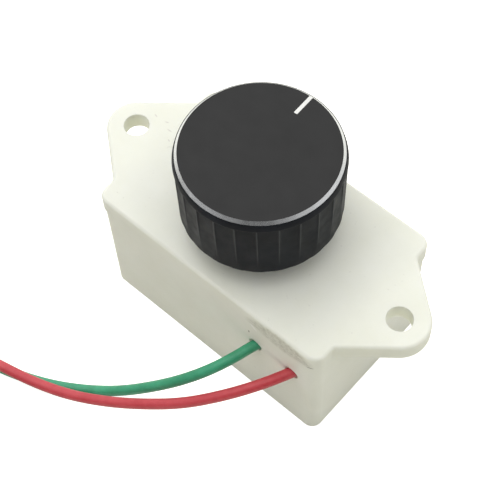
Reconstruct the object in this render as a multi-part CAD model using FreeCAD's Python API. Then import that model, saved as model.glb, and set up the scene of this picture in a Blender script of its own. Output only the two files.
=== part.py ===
import FreeCAD, Part
import math
import os

# Rotary fan speed control switch: a moulded box under an eared face plate, a fluted
# knob on a potentiometer shaft, the power board inside and two free leads.
# Frame: X from ear to ear, -Y the long side where the leads leave, +Z up.
# The origin is the middle of the box's underside. Lengths in millimetres.

V = FreeCAD.Vector
UP = V(0, 0, 1)

# How far a cutter runs past the face that it cuts
cut_overrun = 1.0

# Box
box_length = 58.4
box_width = 35.4
box_height = 30.0
wall = 2.0
floor_thickness = 2.0
box_corner_radius = 2.4
box_base_round = 0.6
cavity_corner_radius = 0.6

# Face plate with its two ears
plate_overhang = 0.35
plate_thickness = 4.2
plate_corner_radius = 2.8
plate_top_round = 0.8
seat_rebate = 0.2
rebate_clearance = 0.1
web_thickness = 2.0
ear_hole_reach = 6.05
ear_hole_radius = 2.7
ear_tip_radius = 6.4
ear_root_setback = 5.05
ear_root_fillet = 1.5
skirt_thickness = 1.2
skirt_depth = 3.0
skirt_clearance = 0.15
slot_skin = 0.3

# Snap hooks on the skirt and their recesses in the end walls
hook_width = 5.0
hook_length = 8.0
hook_offset = 8.5
barb_reach = 0.7
barb_height = 2.0
recess_clearance = 0.25

# Potentiometer
shaft_radius = 3.0
shaft_clearance = 0.04
shaft_flat = 1.5
shaft_above_bushing = 15.0
bushing_radius = 3.5
bushing_length = 7.0
bushing_lip = 0.2
bushing_hole_clearance = 0.2
pot_radius = 8.3
pot_plate_thickness = 1.0
pot_can_height = 9.0
pot_sheet = 0.4
wafer_thickness = 1.4
wafer_clearance = 0.05
wafer_slot_clearance = 0.2
wafer_tab_width = 13.0
wafer_tab_reach = 3.2
track_inner_radius = 5.2
track_outer_radius = 6.8
track_thickness = 0.1
track_spare_angle = 5.0
locating_tab_width = 2.6
locating_tab_thickness = 1.2
locating_tab_height = 1.4
tab_clearance = 0.15
lug_spacing = 5.0
lug_width = 1.8
lug_thickness = 0.4
lug_length = 9.0
lug_wire_radius = 0.6
lug_wire_overlap = 1.0
nut_across_flats = 10.0
nut_height = 2.2
washer_radius = 6.0
washer_thickness = 0.5
thread_clearance = 0.03
rotor_radius = 6.2
rotor_thickness = 2.0
rotor_drop = 3.0
shaft_tail = 1.5
shaft_bevel = 0.5
stop_inner_radius = 6.6
tongue_outer_radius = 7.5
tongue_root = 1.0
stop_half_angle = 8.0
half_travel = 150.0
stop_spare_angle = 1.0
collar_radius = 3.8
collar_clearance = 0.2
wiper_width = 2.4
wiper_sheet = 0.2
wiper_collar_gap = 0.3
wiper_bend_reach = 0.5
contact_land = 0.6
contact_gap = 0.08
clip_radius = 4.6
clip_thickness = 0.6
clip_clearance = 0.1
groove_depth = 0.5

# Knob
knob_gap = 5.7
knob_height = 17.8
knob_band_radius = 16.65
knob_band_height = 1.6
knob_foot_radius = 16.4
knob_skirt_wall = 2.2
knob_roof = 2.4
knob_foot_round = 1.2
flute_count = 25
flute_radius = 21.0
flute_top_depth = 0.4
flute_foot_depth = 0.05
ridge_width = 0.24
ridge_inset = 0.05
ridge_angle = -51.1
hub_radius = 5.0
hub_lift = 1.0
rib_count = 6
rib_thickness = 1.0
rib_lift = 6.0
bore_clearance = 0.03
bore_spare = 0.3
cap_radius = 16.15
cap_thickness = 1.3
cap_bevel = 0.55
cap_bevel_height = 0.65
cap_clearance = 0.05
cap_proud = 0.65
pointer_width = 0.8
pointer_start = 10.65
pointer_depth = 0.3
pointer_angle = 92.2

# Circuit board and what it carries
post_height = 5.0
post_radius = 2.6
post_setback = 4.7
board_gap = 1.2
board_thickness = 1.6
board_corner_radius = 1.0
board_screw_radius = 1.1
screw_head_radius = 1.9
screw_head_height = 1.3
screw_length = 5.5
hole_clearance = 0.1
pin_width = 0.7
joint_width = 1.8
joint_height = 0.8

# Leads
lead_diameter = 2.3
conductor_radius = 0.6
lead_drop = 9.2
red_exit_setback = 6.3
lead_spacing = 9.6
exit_angle = 22.0
exit_inset = 4.0
tail_knee = 3.0
tail_bend_share = 0.43
lead_hole_clearance = 0.35
tip_length = 6.0
coil_centre = V(-40.0, -67.9, 0)
coil_radius = 14.4
coil_end_radius = 13.1
coil_points = 12
coil_sweep = 270.0
coil_entry_angle = 99.8
lead_stack_gap = 0.05

# Parts on the board; their places are taken from its posts, the walls' insides and the lugs
part_lift = 0.2
capacitor_bevel = 0.6
capacitor_pin_inset = 1.5
resistor_radius = 1.2
resistor_length = 6.3
resistor_half_pitch = 4.6
resistor_spacing = 3.2
resistor_post_gap = 10.3
resistor_setback = 3.0
fuse_radius = 1.7
fuse_length = 7.5
fuse_half_pitch = 6.0
fuse_post_gap = 10.0
fuse_setback = 3.7
diac_radius = 1.0
diac_length = 4.0
diac_half_pitch = 3.8
diac_lug_gap = 3.6
diac_y = -6.0
timing_length = 7.5
timing_width = 3.5
timing_height = 8.0
timing_x = -3.5
timing_y = -4.0
snubber_length = 12.0
snubber_width = 5.5
snubber_height = 11.0
snubber_post_gap = 6.5
snubber_choke_gap = 0.45
triac_back_y = -0.3
triac_width = 10.0
triac_body_depth = 4.4
triac_body_height = 9.0
triac_bevel = 0.5
triac_tab_thickness = 1.3
triac_tab_height = 15.2
triac_leg_height = 3.0
triac_leg_overlap = 0.5
triac_pitch = 2.54
tab_hole_radius = 1.8
tab_hole_drop = 2.8
sink_sheet = 1.5
sink_width = 12.5
sink_depth = 5.5
sink_fold_radius = 0.9
sink_above_hole = 2.1
sink_pot_gap = 0.3
sink_screw_clearance = 0.2
sink_screw_head_radius = 2.6
sink_screw_head_height = 1.6
choke_post_gap = 8.0
choke_setback = 4.5
choke_radius = 3.8
choke_height = 10.0
choke_flange = 1.2
choke_waist = 1.9
winding_radius = 3.4
winding_clearance = 0.05
green_pad_shift = 2.8
red_pad_shift = -0.5
pad_inset = 11.5

# Levels and sizes that follow from the values above
plate_under = box_height - seat_rebate
plate_top = plate_under + plate_thickness
web_under = plate_top - web_thickness
bushing_top = web_under + bushing_length
pot_plate_under = web_under - pot_plate_thickness
wafer_under = pot_plate_under - wafer_thickness
can_bottom = pot_plate_under - pot_can_height
rotor_top = pot_plate_under - rotor_drop
rotor_bottom = rotor_top - rotor_thickness
shaft_top = bushing_top + shaft_above_bushing
knob_bottom = plate_top + knob_gap
knob_top = knob_bottom + knob_height
cap_under = knob_top - cap_thickness + cap_proud
cap_top = cap_under + cap_thickness
roof_under = cap_under - knob_roof
board_under = floor_thickness + post_height
board_top = board_under + board_thickness
lead_radius = lead_diameter / 2
exit_y = -box_width / 2
lead_height = box_height - lead_drop
red_exit_x = box_length / 2 - red_exit_setback
green_exit_x = red_exit_x - lead_spacing
ear_x = box_length / 2 + ear_hole_reach
ear_root_half_width = box_width / 2 + plate_overhang - ear_root_setback
inside_length = box_length - 2 * wall
inside_width = box_width - 2 * wall
post_x = inside_length / 2 - post_setback
post_y = inside_width / 2 - post_setback
resistor_x = resistor_post_gap - post_x
resistor_y = inside_width / 2 - resistor_setback
fuse_x = fuse_post_gap - post_x
fuse_y = fuse_setback - inside_width / 2
diac_x = lug_spacing + diac_lug_gap
sink_height = triac_leg_height + triac_tab_height - tab_hole_drop + sink_above_hole
triac_x = -(pot_radius + sink_pot_gap + sink_width / 2)
choke_x = post_x - choke_post_gap
choke_y = inside_width / 2 - choke_setback
snubber_x = post_x - snubber_post_gap
snubber_y = choke_y - choke_radius - snubber_choke_gap - snubber_width / 2
green_pad = (green_exit_x + green_pad_shift, exit_y + pad_inset)
red_pad = (red_exit_x + red_pad_shift, exit_y + pad_inset)


def cylinder(radius, height, x=0.0, y=0.0, z=0.0, axis=UP):
    return Part.makeCylinder(radius, height, V(x, y, z), axis)


def block(length, width, height, x, y, z):
    """Box centred on x and y, standing on z."""
    return Part.makeBox(length, width, height, V(x - length / 2, y - width / 2, z))


def ring(outer, inner, height, z):
    return cylinder(outer, height, z=z).cut(cylinder(inner, height, z=z))


def turned(shape, degrees, centre=V(0, 0, 0), axis=UP):
    copy = shape.copy()
    copy.rotate(centre, axis, degrees)
    return copy


def upright_edges(shape):
    """Straight edges that run along Z."""
    found = []
    for edge in shape.Edges:
        if len(edge.Vertexes) == 2 and isinstance(edge.Curve, Part.Line):
            low, high = (vertex.Point for vertex in edge.Vertexes)
            if math.hypot(high.x - low.x, high.y - low.y) < 1e-6:
                found.append(edge)
    return found


def level_edges(shape, z):
    """Edges that lie wholly at height z."""
    return [e for e in shape.Edges if abs(e.BoundBox.ZMin - z) < 1e-6 and abs(e.BoundBox.ZMax - z) < 1e-6]


def rounded_block(length, width, height, z, radius):
    body = block(length, width, height, 0, 0, z)
    return body.makeFillet(radius, upright_edges(body))


def sector(outer, inner, height, z, middle, half_angle):
    """Part of a ring, half_angle degrees to each side of the direction middle."""
    points = [V(r * math.cos(math.radians(a)), r * math.sin(math.radians(a)), z)
              for r in (inner, outer) for a in (middle - half_angle, middle, middle + half_angle)]
    edges = [Part.Arc(points[0], points[1], points[2]).toShape(),
             Part.LineSegment(points[2], points[5]).toShape(),
             Part.Arc(points[5], points[4], points[3]).toShape(),
             Part.LineSegment(points[3], points[0]).toShape()]
    return Part.Face(Part.Wire(edges)).extrude(V(0, 0, height))


def revolved(profile):
    """Solid of revolution about Z from a closed list of (radius, z)."""
    points = [V(r, 0, z) for r, z in profile]
    return Part.Face(Part.makePolygon(points + points[:1])).revolve(V(0, 0, 0), UP, 360)


def extruded_yz(profile, width, x):
    """Prism from a closed list of (y, z), centred on x."""
    points = [V(x - width / 2, y, z) for y, z in profile]
    return Part.Face(Part.makePolygon(points + points[:1])).extrude(V(width, 0, 0))


def export(node, shape):
    shape.exportStep("parts/" + node + ".step")


# Cord tubes: straight runs joined by tangent arcs

def turn_between(before, corner, after):
    first = corner - before
    second = after - corner
    return first.getAngle(second)


def bend_radius(before, corner, after):
    shorter = min((corner - before).Length, (after - corner).Length)
    return 0.45 * shorter / math.tan(turn_between(before, corner, after) / 2)


def route_wire(points):
    edges = []
    start = points[0]
    for before, corner, after in zip(points, points[1:], points[2:]):
        radius = bend_radius(before, corner, after)
        half = turn_between(before, corner, after) / 2
        reach = radius * math.tan(half)
        into = (before - corner).normalize()
        out = (after - corner).normalize()
        middle = (into + out).normalize() * (radius / math.cos(half) - radius)
        arc_start = corner + into * reach
        arc_end = corner + out * reach
        edges.append(Part.LineSegment(start, arc_start).toShape())
        edges.append(Part.Arc(arc_start, corner + middle, arc_end).toShape())
        start = arc_end
    edges.append(Part.LineSegment(start, points[-1]).toShape())
    return Part.Wire(edges)


def tube(points, radius):
    path = route_wire(points)
    profile = Part.Wire(Part.makeCircle(radius, points[0], points[1] - points[0]))
    return path.makePipeShell([profile], True, False)


def report_tube(name, points, radius, solid):
    length = route_wire(points).Length
    share = solid.Volume / (math.pi * radius ** 2 * length)
    radii = [bend_radius(*corner) for corner in zip(points, points[1:], points[2:])]
    print(name, "length", round(length, 2), "volume share", round(share, 4),
          "radii", [round(r, 1) for r in radii])


# Housing

def lead_hole(exit_x):
    """Round hole through the wall, along the lead that passes it."""
    inner, outer = exit_points(exit_x)
    inward = (inner - outer).normalize()
    length = wall / inward.y + 2 * cut_overrun
    start = outer - inward * cut_overrun
    return Part.makeCylinder(lead_radius + lead_hole_clearance, length, start, inward)


def housing_box():
    body = rounded_block(box_length, box_width, box_height, 0, box_corner_radius)
    body = body.makeFillet(box_base_round, level_edges(body, 0))
    cavity = rounded_block(inside_length, inside_width, box_height, floor_thickness,
                           cavity_corner_radius)
    body = body.cut(cavity)
    for x in (-post_x, post_x):
        for y in (-post_y, post_y):
            body = body.fuse(cylinder(post_radius, post_height, x, y, floor_thickness))
            pilot = cylinder(board_screw_radius + thread_clearance, post_height, x, y, floor_thickness)
            body = body.cut(pilot)
    for exit_x in (green_exit_x, red_exit_x):
        body = body.cut(lead_hole(exit_x))
    depth = barb_reach + recess_clearance - skirt_clearance
    top = box_height - hook_length + barb_height + recess_clearance
    for side in (-1, 1):
        for y in (-hook_offset, hook_offset):
            recess = block(depth, hook_width + 2 * recess_clearance, barb_height + 2 * recess_clearance,
                           side * (inside_length + depth) / 2, y, top - barb_height - 2 * recess_clearance)
            body = body.cut(recess)
    return body


def ear_prism(side):
    """One ear: tapered sides that run tangent into a round tip about the screw hole."""
    root_x = box_length / 2 + plate_overhang
    root = V(root_x, ear_root_half_width, plate_under)
    centre = V(ear_x, 0, plate_under)
    to_root = root - centre
    root_angle = math.atan2(to_root.y, to_root.x)
    tangent_angle = root_angle - math.acos(ear_tip_radius / to_root.Length)
    touch = centre + V(math.cos(tangent_angle), math.sin(tangent_angle), 0) * ear_tip_radius
    inner = V(root_x - wall, root.y, root.z)

    def mirrored(point):
        return V(point.x, -point.y, point.z)

    tip = centre + V(ear_tip_radius, 0, 0)
    edges = [Part.LineSegment(inner, root).toShape(),
             Part.LineSegment(root, touch).toShape(),
             Part.Arc(touch, tip, mirrored(touch)).toShape(),
             Part.LineSegment(mirrored(touch), mirrored(root)).toShape(),
             Part.LineSegment(mirrored(root), mirrored(inner)).toShape(),
             Part.LineSegment(mirrored(inner), inner).toShape()]
    prism = Part.Face(Part.Wire(edges)).extrude(V(0, 0, plate_thickness))
    return prism if side > 0 else turned(prism, 180)


def snap_hook(side, y):
    """Beam under the skirt with a barb whose lower face is a ramp."""
    outer = inside_length / 2 - skirt_clearance
    low = box_height - hook_length
    profile = [(outer, box_height - skirt_depth), (outer, low + barb_height),
               (outer + barb_reach, low + barb_height), (outer + barb_reach, low + barb_height / 2),
               (outer, low), (outer - skirt_thickness, low),
               (outer - skirt_thickness, box_height - skirt_depth)]
    points = [V(px, y - hook_width / 2, pz) for px, pz in profile]
    hook = Part.Face(Part.makePolygon(points + points[:1])).extrude(V(0, hook_width, 0))
    return hook if side > 0 else turned(hook, 180)


def face_plate():
    length = box_length + 2 * plate_overhang
    width = box_width + 2 * plate_overhang
    plate = rounded_block(length, width, plate_thickness, plate_under, plate_corner_radius)
    plate = plate.fuse([ear_prism(1), ear_prism(-1)]).removeSplitter()
    roots = [e for e in upright_edges(plate)
             if abs(abs(e.CenterOfMass.x) - length / 2) < 1e-6
             and abs(abs(e.CenterOfMass.y) - ear_root_half_width) < 1e-6]
    plate = plate.makeFillet(ear_root_fillet, roots)
    plate = plate.makeFillet(plate_top_round, level_edges(plate, plate_top))
    seat_length = box_length + 2 * rebate_clearance
    plate = plate.cut(block(seat_length, width, seat_rebate, 0, 0, plate_under))
    skirt_length = inside_length - 2 * skirt_clearance
    skirt_width = inside_width - 2 * skirt_clearance
    skirt = rounded_block(skirt_length, skirt_width, skirt_depth, box_height - skirt_depth, skirt_thickness)
    plate = plate.fuse(skirt)
    cored_height = web_under - box_height + skirt_depth
    plate = plate.cut(rounded_block(skirt_length - 2 * skirt_thickness, skirt_width - 2 * skirt_thickness,
                                    cored_height, box_height - skirt_depth, skirt_thickness))
    for side in (-1, 1):
        for y in (-hook_offset, hook_offset):
            plate = plate.fuse(snap_hook(side, y))
        plate = plate.cut(cylinder(ear_hole_radius, plate_thickness, side * ear_x, 0, plate_under))
    plate = plate.cut(cylinder(bushing_radius + bushing_hole_clearance, web_thickness, z=web_under))
    slot_height = min(locating_tab_height + tab_clearance, web_thickness - slot_skin)
    slot_thickness = locating_tab_thickness + 2 * tab_clearance
    slot_width = locating_tab_width + 2 * tab_clearance
    plate = plate.cut(block(slot_thickness, slot_width, slot_height, locating_tab_x(), 0, web_under))
    return plate


# Potentiometer

def locating_tab_x():
    return pot_radius - locating_tab_thickness


def pot_bushing():
    plate = cylinder(pot_radius, pot_plate_thickness, z=pot_plate_under)
    body = plate.fuse(cylinder(bushing_radius, bushing_length, z=web_under))
    lip = level_edges(body, bushing_top)
    body = body.makeChamfer(bushing_radius - shaft_radius - bushing_lip, lip)
    tab = block(locating_tab_thickness, locating_tab_width, locating_tab_height,
                locating_tab_x(), 0, web_under)
    bore = cylinder(shaft_radius + shaft_clearance, bushing_top - pot_plate_under, z=pot_plate_under)
    return body.fuse(tab).cut(bore)


def wafer_disc_radius():
    return pot_radius - pot_sheet - wafer_clearance


def pot_wafer():
    tab_end = pot_radius + wafer_tab_reach
    tab = block(wafer_tab_width, tab_end, wafer_thickness, 0, -tab_end / 2, wafer_under)
    body = cylinder(wafer_disc_radius(), wafer_thickness, z=wafer_under).fuse(tab)
    centre = cylinder(collar_radius + collar_clearance, wafer_thickness, z=wafer_under)
    return body.cut(centre).removeSplitter()


def pot_track():
    return sector(track_outer_radius, track_inner_radius, track_thickness,
                  wafer_under - track_thickness, 90, half_travel + track_spare_angle)


def lug_y():
    return -(pot_radius + wafer_tab_reach / 2)


def pot_terminals():
    """Three flat lugs that hang from the wafer's tab, each with an eye at its foot."""
    lugs = []
    for x in (-lug_spacing, 0, lug_spacing):
        foot_z = wafer_under - lug_length
        blade = block(lug_width, lug_thickness, lug_length, x, lug_y(), foot_z)
        eye = cylinder(lug_width / 4, lug_thickness, x, lug_y() - lug_thickness / 2,
                       foot_z + lug_width, V(0, 1, 0))
        lugs.append(blade.cut(eye))
    return Part.makeCompound(lugs)


def pot_can():
    """Rear cover drawn from sheet, with a slot for the wafer's tab and an inward end stop."""
    shell = cylinder(pot_radius, pot_can_height, z=can_bottom)
    shell = shell.makeChamfer(pot_sheet, level_edges(shell, can_bottom))
    inside = cylinder(pot_radius - pot_sheet, pot_can_height - pot_sheet, z=can_bottom + pot_sheet)
    inside = inside.makeChamfer(pot_sheet / 2, level_edges(inside, can_bottom + pot_sheet))
    shell = shell.cut(inside)
    slot_height = wafer_thickness + pot_sheet
    slot = block(wafer_tab_width + 2 * wafer_slot_clearance, pot_radius, slot_height, 0, -pot_radius / 2,
                 pot_plate_under - slot_height)
    shell = shell.cut(slot)
    stop = sector(pot_radius - pot_sheet / 2, stop_inner_radius, rotor_thickness, rotor_bottom,
                  -90, stop_half_angle)
    return shell.fuse(stop)


def pot_washer():
    return ring(washer_radius, bushing_radius + bushing_hole_clearance, washer_thickness, plate_top)


def pot_nut():
    corner = nut_across_flats / math.sqrt(3)
    z = plate_top + washer_thickness
    points = [V(corner * math.cos(math.radians(60 * i)), corner * math.sin(math.radians(60 * i)), z)
              for i in range(6)]
    nut = Part.Face(Part.makePolygon(points + points[:1])).extrude(V(0, 0, nut_height))
    chamfer = corner - nut_across_flats / 2
    cone = revolved([(0, z), (corner, z), (corner, z + nut_height - chamfer / 2),
                     (nut_across_flats / 2, z + nut_height), (0, z + nut_height)])
    return nut.common(cone).cut(cylinder(bushing_radius + thread_clearance, nut_height, z=z))


def pot_shaft():
    bottom = rotor_bottom - shaft_tail
    shaft = cylinder(shaft_radius, shaft_top - bottom, z=bottom)
    collar_top = pot_plate_under - collar_clearance
    shaft = shaft.fuse(cylinder(collar_radius, collar_top - rotor_top, z=rotor_top))
    shaft = shaft.makeChamfer(shaft_bevel, level_edges(shaft, shaft_top))
    groove_z = bushing_top + clip_clearance
    groove = ring(shaft_radius + cut_overrun, shaft_radius - groove_depth, clip_thickness, groove_z)
    shaft = shaft.cut(groove)
    flat_z = knob_bottom + hub_lift
    flat = block(2 * shaft_radius, 2 * shaft_radius, shaft_top - flat_z,
                 0, shaft_flat + shaft_radius, flat_z)
    return shaft.cut(flat)


def pot_rotor():
    rotor = cylinder(rotor_radius, rotor_thickness, z=rotor_bottom)
    half = 180 - half_travel - stop_half_angle - stop_spare_angle
    tongue = sector(tongue_outer_radius, rotor_radius - tongue_root, rotor_thickness, rotor_bottom,
                    90, half)
    bore = cylinder(shaft_radius + bore_clearance, rotor_thickness, z=rotor_bottom)
    return rotor.fuse(tongue).cut(bore).removeSplitter()


def pot_wiper():
    """Bent contact spring: foot on the rotor, arm up to the track, rounded contact."""
    contact_y = (track_inner_radius + track_outer_radius) / 2
    top = wafer_under - track_thickness - contact_gap
    foot_y = collar_radius + wiper_collar_gap
    end_y = contact_y + contact_land
    tip_y = end_y - wiper_sheet
    profile = [(foot_y, rotor_top), (end_y, rotor_top), (end_y, rotor_top + wiper_sheet),
               (foot_y + wiper_sheet + wiper_bend_reach, rotor_top + wiper_sheet),
               (tip_y, top - wiper_sheet), (tip_y, top), (tip_y - contact_land, top),
               (foot_y, rotor_top + 2 * wiper_sheet)]
    return extruded_yz(profile, wiper_width, 0)


def shaft_clip():
    """Retaining ring, open on one side, in the shaft's groove."""
    z = bushing_top + clip_clearance
    body = ring(clip_radius, shaft_radius - groove_depth + bore_clearance, clip_thickness, z)
    mouth = block(2 * (shaft_radius - groove_depth), clip_radius, clip_thickness, 0, -clip_radius / 2, z)
    return body.cut(mouth)


# Knob

def knob_blank():
    """Outer form of the knob: foot eased in two steps, tapered skirt, smooth band."""
    band_z = knob_top - knob_band_height
    ridge = knob_band_radius - ridge_inset
    ease = knob_foot_round * (1 - math.sqrt(0.5))
    return revolved([(0, knob_bottom), (knob_foot_radius - knob_foot_round, knob_bottom),
                     (knob_foot_radius - ease, knob_bottom + ease),
                     (knob_foot_radius, knob_bottom + knob_foot_round), (ridge, band_z),
                     (knob_band_radius, band_z), (knob_band_radius, knob_top), (0, knob_top)])


def flute_cutter():
    """Round bar laid along the tapered skirt; its flute runs out towards the foot."""
    band_z = knob_top - knob_band_height
    top_axis = knob_band_radius - ridge_inset - flute_top_depth + flute_radius
    foot_axis = knob_foot_radius - flute_foot_depth + flute_radius
    start = V(foot_axis, 0, knob_bottom)
    along = V(top_axis, 0, band_z) - start
    along.normalize()
    length = (band_z - knob_bottom) / along.z + 2 * cut_overrun
    bar = Part.makeCylinder(flute_radius, length, start - along * cut_overrun, along)
    pitch = 2 * knob_foot_radius * math.sin(math.pi / flute_count)
    keep = block(4 * knob_skirt_wall, pitch - ridge_width, band_z - knob_bottom + cut_overrun,
                 knob_foot_radius, 0, knob_bottom - cut_overrun)
    return bar.common(keep)


def knob_inside():
    """Everything that is empty under the knob's roof, around the hub and its ribs."""
    radius = knob_foot_radius - knob_skirt_wall
    room = cylinder(radius, roof_under - knob_bottom, z=knob_bottom)
    hub = cylinder(hub_radius, roof_under - knob_bottom - hub_lift, z=knob_bottom + hub_lift)
    room = room.cut(hub)
    rib_z = knob_bottom + rib_lift
    for i in range(rib_count):
        rib = Part.makeBox(radius, rib_thickness, roof_under - rib_z, V(0, -rib_thickness / 2, rib_z))
        room = room.cut(turned(rib, i * 360 / rib_count))
    return room


def knob_bore():
    radius = shaft_radius + bore_clearance
    low = knob_bottom + hub_lift
    bore = cylinder(radius, shaft_top + bore_spare - low, z=low)
    flat = block(2 * radius, 2 * radius, bore.BoundBox.ZLength,
                 0, shaft_flat + bore_clearance + radius, low)
    return bore.cut(flat)


def knob_body():
    body = knob_blank().cut(knob_inside())
    cutter = flute_cutter()
    step = 360 / flute_count
    body = body.cut([turned(cutter, ridge_angle + (i + 0.5) * step) for i in range(flute_count)])
    seat = cylinder(cap_radius + cap_clearance, knob_top - cap_under, z=cap_under)
    return body.cut(seat).cut(knob_bore())


def cap_blank():
    blank = cylinder(cap_radius, cap_thickness, z=cap_under)
    cone = revolved([(0, cap_under), (cap_radius, cap_under), (cap_radius, cap_top - cap_bevel_height),
                     (cap_radius - cap_bevel, cap_top), (0, cap_top)])
    return blank.common(cone)


def pointer_groove():
    length = cap_radius - pointer_start + cut_overrun
    groove = block(length, pointer_width, cap_proud, pointer_start + length / 2, 0, cap_top - pointer_depth)
    return turned(groove, pointer_angle)


def knob_cap():
    return cap_blank().cut(pointer_groove())


def pointer_line():
    return cap_blank().common(pointer_groove())


# Circuit board: each component gives its solid and the places of its pins


def pins(places, length):
    """Square pins through the board, from its underside up by length."""
    return [block(pin_width, pin_width, length, x, y, board_under) for x, y in places]


def axial_part(x, y, body_radius, body_length, half_pitch, along_y=False):
    """Axial component on its wire, lying just above the board."""
    lift = board_top + body_radius + part_lift
    body = cylinder(body_radius, body_length, x - body_length / 2, y, lift, V(1, 0, 0))
    wire = block(2 * half_pitch + pin_width, pin_width, pin_width, x, y, lift - pin_width / 2)
    places = [(x - half_pitch, y), (x + half_pitch, y)]
    shape = body.fuse([wire] + pins(places, lift - board_under)).removeSplitter()
    if along_y:
        shape = turned(shape, 90, V(x, y, 0))
        places = [(x, y - half_pitch), (x, y + half_pitch)]
    return shape, places


def box_capacitor(x, y, length, width, height):
    body = block(length, width, height, x, y, board_top)
    body = body.makeChamfer(capacitor_bevel, upright_edges(body))
    places = [(x - length / 2 + capacitor_pin_inset, y), (x + length / 2 - capacitor_pin_inset, y)]
    return body.fuse(pins(places, board_thickness)), places


def triac():
    """Three-legged power device, its metal tab against the heat sink."""
    low = board_top + triac_leg_height
    tab = block(triac_width, triac_tab_thickness, triac_tab_height, triac_x,
                triac_back_y - triac_tab_thickness / 2, low)
    body_y = triac_back_y - triac_tab_thickness / 3 - triac_body_depth / 2
    body = block(triac_width, triac_body_depth, triac_body_height, triac_x, body_y, low)
    body = body.makeChamfer(triac_bevel, level_edges(body, low + triac_body_height)[:1])
    hole = cylinder(tab_hole_radius, triac_body_depth, triac_x, triac_back_y - triac_body_depth,
                    low + triac_tab_height - tab_hole_drop, V(0, 1, 0))
    places = [(triac_x + i * triac_pitch, body_y) for i in (-1, 0, 1)]
    legs = pins(places, low - board_under + triac_leg_overlap)
    return tab.fuse(body).cut(hole).fuse(legs), places


def sink_hole_z():
    return board_top + triac_leg_height + triac_tab_height - tab_hole_drop


def heat_sink():
    """Folded aluminium channel that stands on the board behind the power device."""
    y = triac_back_y + sink_depth / 2
    outer = block(sink_width, sink_depth, sink_height, triac_x, y, board_top)
    inner = block(sink_width - 2 * sink_sheet, sink_depth, sink_height, triac_x, y + sink_sheet, board_top)
    hole = cylinder(tab_hole_radius - sink_screw_clearance, sink_sheet, triac_x, triac_back_y,
                    sink_hole_z(), V(0, 1, 0))
    body = outer.cut(inner).cut(hole)
    folds = [e for e in upright_edges(body) if abs(e.CenterOfMass.y - triac_back_y) < 1e-6]
    return body.makeFillet(sink_fold_radius, folds)


def heat_sink_screw():
    """Pan head screw through the tab into the heat sink."""
    z = sink_hole_z()
    face_y = triac_back_y - triac_tab_thickness
    head = cylinder(sink_screw_head_radius, sink_screw_head_height, triac_x,
                    face_y - sink_screw_head_height, z, V(0, 1, 0))
    shank = cylinder(tab_hole_radius - sink_screw_clearance - thread_clearance,
                     2 * sink_sheet + triac_tab_thickness, triac_x, face_y, z, V(0, 1, 0))
    return head.fuse(shank)


def choke_core():
    waist = choke_height - 2 * choke_flange
    core = revolved([(0, 0), (choke_radius, 0), (choke_radius, choke_flange), (choke_waist, choke_flange),
                     (choke_waist, choke_flange + waist), (choke_radius, choke_flange + waist),
                     (choke_radius, choke_height), (0, choke_height)])
    core.translate(V(choke_x, choke_y, board_top))
    return core


def choke_winding():
    """Winding on the drum, one smooth sleeve."""
    low = choke_flange + winding_clearance
    winding = ring(winding_radius, choke_waist + winding_clearance, choke_height - 2 * low, board_top + low)
    winding.translate(V(choke_x, choke_y, 0))
    return winding


def jumper_places():
    return [(x, lug_y() + lug_thickness / 2 + lug_wire_radius) for x in (-lug_spacing, 0, lug_spacing)]


def jumper_wires():
    """Short insulated wires from the lugs straight down to the board."""
    wires = []
    top = wafer_under - lug_length + lug_width + lug_wire_overlap
    for x, y in jumper_places():
        wire = cylinder(lug_wire_radius, top - board_top, x, y, board_top)
        wires.append(wire.fuse(pins([(x, y)], board_thickness)))
    return Part.makeCompound(wires)


def circuit_board(holes):
    length = inside_length - 2 * board_gap
    width = inside_width - 2 * board_gap
    board = rounded_block(length, width, board_thickness, board_under, board_corner_radius)
    pin_hole = pin_width + 2 * hole_clearance
    cutters = [block(pin_hole, pin_hole, board_thickness, x, y, board_under) for x, y in holes]
    screw_hole = board_screw_radius + hole_clearance
    for x in (-post_x, post_x):
        for y in (-post_y, post_y):
            cutters.append(cylinder(screw_hole, board_thickness, x, y, board_under))
    return board.cut(cutters)


def board_screws():
    screws = []
    for x in (-post_x, post_x):
        for y in (-post_y, post_y):
            head = cylinder(screw_head_radius, screw_head_height, x, y, board_top)
            shank = cylinder(board_screw_radius, screw_length, x, y, board_top - screw_length)
            screws.append(head.fuse(shank))
    return Part.makeCompound(screws)


def solder_joints(places):
    """One small frustum under each pin, wide side against the board."""
    joints = []
    wide = joint_width / 2
    narrow = pin_width / 2
    for x, y in places:
        joint = Part.makeWedge(-narrow, -joint_height, -narrow, -wide, -wide, narrow, 0, narrow, wide, wide)
        joint.rotate(V(0, 0, 0), V(1, 0, 0), 90)
        joint.translate(V(x, y, board_under))
        joints.append(joint)
    return Part.makeCompound(joints)


# Leads

def exit_direction():
    """Level direction in which both leads leave the wall, leaning towards -X."""
    angle = math.radians(exit_angle)
    return V(-math.sin(angle), -math.cos(angle), 0)


def exit_points(exit_x):
    """Start of the free lead inside the hole, and its first point outside."""
    middle = V(exit_x, exit_y, lead_height)
    return middle - exit_direction() * exit_inset, middle


red_level = lead_diameter * 1.5 + lead_stack_gap
green_level = lead_radius

# Points of each route after the wall, chosen along the photographed leads
red_points = [V(19.4, -24.2, 20.2), V(14.4, -29.9, 17.4), V(8.4, -35.0, 13.7), V(1.1, -39.3, 9.8),
              V(-6.4, -43.1, 6.4), V(-14.6, -46.7, 4.0), V(-22.8, -49.5, red_level),
              V(-31.2, -51.5, red_level)]
green_points = [V(11.7, -23.1, 20.4), V(8.9, -27.7, 18.1), V(4.7, -31.9, 14.3), V(-0.5, -35.6, 9.8),
                V(-6.1, -39.0, 5.4), V(-11.9, -42.1, 2.2), V(-18.2, -45.8, green_level),
                V(-24.7, -49.0, green_level), V(-32.0, -51.5, green_level)]


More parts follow.
